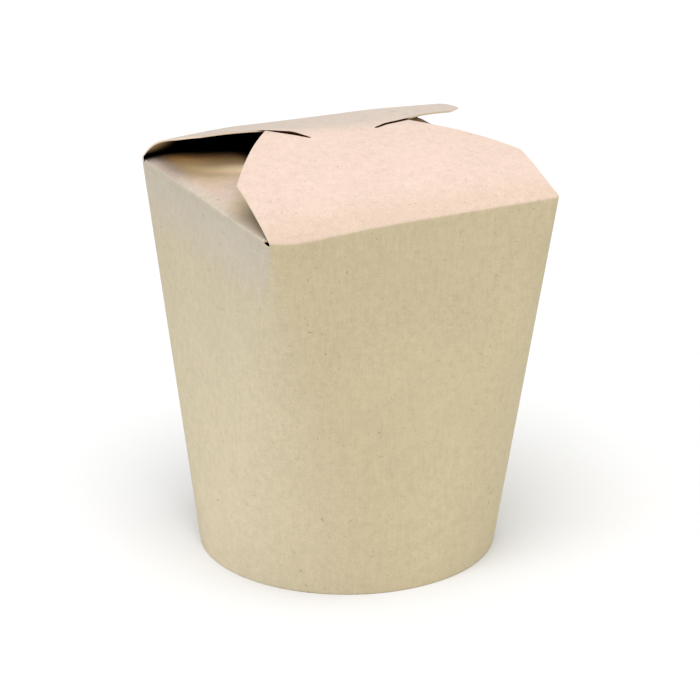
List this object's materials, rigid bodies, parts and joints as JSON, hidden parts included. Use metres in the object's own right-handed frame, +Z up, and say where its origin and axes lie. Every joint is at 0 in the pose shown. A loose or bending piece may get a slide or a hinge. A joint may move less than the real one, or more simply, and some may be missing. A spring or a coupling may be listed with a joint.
{
  "type": "noodle takeaway box",
  "caption": "Shut noodle takeaway box of plain kraft board, round at the foot and square at the rim, with folded-in side flaps under a gabled lid",
  "frame": {"origin": "on the ground under the middle of the carton", "axes": "+Z up, +X along the lid's ridge towards the lower end of the ridge, -Y towards the front flap"},
  "size_m": [0.091, 0.0876, 0.1266],
  "materials": {
    "kraft_board": "matt uncoated kraft board",
    "kraft_base": "matt uncoated kraft board"
  },
  "bodies": {
    "root": {"carton": "kraft_board", "base": "kraft_base"}
  },
  "joints": []
}
